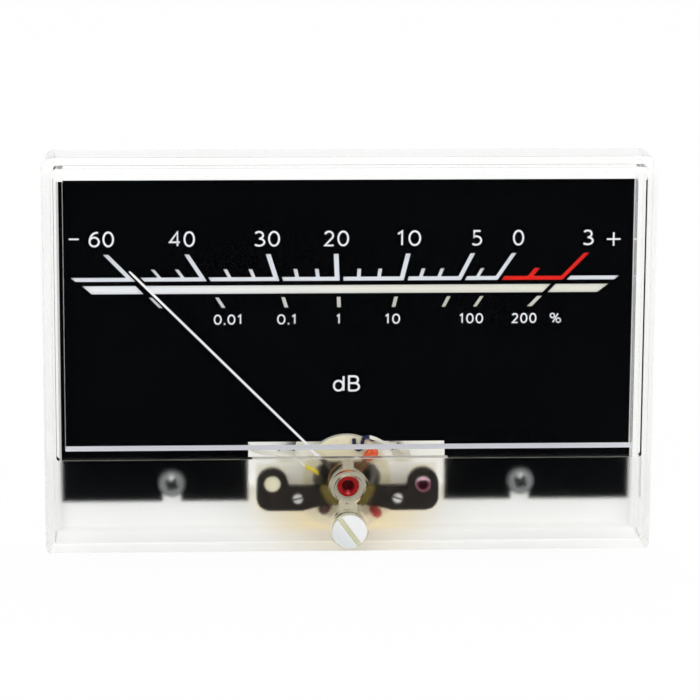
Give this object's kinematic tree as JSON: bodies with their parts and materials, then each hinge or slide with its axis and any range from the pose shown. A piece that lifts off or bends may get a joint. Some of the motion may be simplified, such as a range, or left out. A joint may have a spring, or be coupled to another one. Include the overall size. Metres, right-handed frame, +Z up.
{
  "type": "analog panel meter",
  "caption": "Wide moving-coil level meter with a clear raised window, slotted black dial, white pointer and front zero adjuster.",
  "frame": {"origin": "middle of the lower edge of the cover's front face, which seats behind a panel", "axes": "+X to the right seen from the front, -Y out of the front, +Z up"},
  "size_m": [0.097, 0.0415, 0.064],
  "materials": {
    "milky_plastic": "milky translucent moulding",
    "clear_plastic": "clear moulding with a frosted lower band",
    "dial_film": "translucent white sheet",
    "mask_black": "satin black film",
    "screw_steel": "zinc plated",
    "bright_steel": "bright",
    "cream_plastic": "cream moulding",
    "soft_iron": "machined",
    "magnet": "ground",
    "web_alloy": "die cast",
    "bridge_paint": "dark brown paint",
    "brass": "bright",
    "red_lacquer": "red locking lacquer",
    "former_alloy": "bright",
    "copper_wire": "enamelled copper turns",
    "pivot_steel": "polished",
    "pointer_white": "painted white",
    "weight_red": "wire bead in red lacquer",
    "weight_orange": "wire bead in orange lacquer",
    "weight_dark": "wire bead in dark lacquer",
    "spring_bronze": "bright strip",
    "white_nylon": "smooth",
    "board": "white solder mask",
    "lamp_lens": "clear lens",
    "tinned": "tinned",
    "wire_yellow": "insulation",
    "wire_red": "insulation",
    "wire_blue": "insulation"
  },
  "bodies": {
    "housing": {"rear_case": "milky_plastic", "front_cover": "clear_plastic", "dial_sheet": "dial_film", "dial_mask": "mask_black", "dial_screws": "screw_steel", "frame_screws": "screw_steel", "pillar_screws": "bright_steel", "rear_bridge_screws": "bright_steel", "adjuster_clip": "bright_steel", "stud_washers": "bright_steel", "movement_frame": "cream_plastic", "yoke_ring": "soft_iron", "core_magnet": "magnet", "core_webs": "web_alloy", "front_bridge": "bridge_paint", "rear_bridge": "bridge_paint", "bridge_pillars": "brass", "rear_jewel_screw": "brass", "rear_spring_arm": "brass", "stop_pins": "brass", "terminal_studs": "brass", "stud_nuts": "brass", "front_jewel_screw": "red_lacquer", "ear_screw": "red_lacquer", "lamp_board": "board", "lamp_leds": "lamp_lens", "lamp_pins": "tinned", "solder_lugs": "tinned", "wire_yellow": "wire_yellow", "wire_red": "wire_red", "wire_blue": "wire_blue"},
    "moving_element": {"coil_former": "former_alloy", "coil_winding": "copper_wire", "pointer_hub": "brass", "pivot_pins": "pivot_steel", "pointer": "pointer_white", "balance_cross": "brass", "tail_weight": "weight_red", "right_weight": "weight_orange", "left_weight": "weight_dark", "front_hairspring": "spring_bronze", "rear_hairspring": "spring_bronze"},
    "zero_arm": {"zero_lever": "cream_plastic"},
    "adjuster": {"zero_adjuster": "white_nylon"}
  },
  "joints": [
    {"name": "pointer_swing", "type": "hinge", "parent": "housing", "child": "moving_element", "pos_m": [0, 0, 0.01], "axis": [0, 1, 0], "range_deg": [-3, 95], "stiffness_Nm_per_rad": 0.00002, "deforming": ["front_hairspring", "rear_hairspring"]},
    {"name": "adjuster_turn", "type": "hinge", "parent": "housing", "child": "adjuster", "pos_m": [0, 0, 0.0039], "axis": [0, 1, 0], "range_deg": [-40, 40]},
    {"name": "zero_arm_tilt", "type": "hinge", "parent": "housing", "child": "zero_arm", "pos_m": [0, 0, 0.01], "axis": [0, 1, 0], "range_deg": [-9, 9]}
  ],
  "couplings": [
    {"joint": "zero_arm_tilt", "follows": "adjuster_turn", "ratio": -0.212}
  ]
}
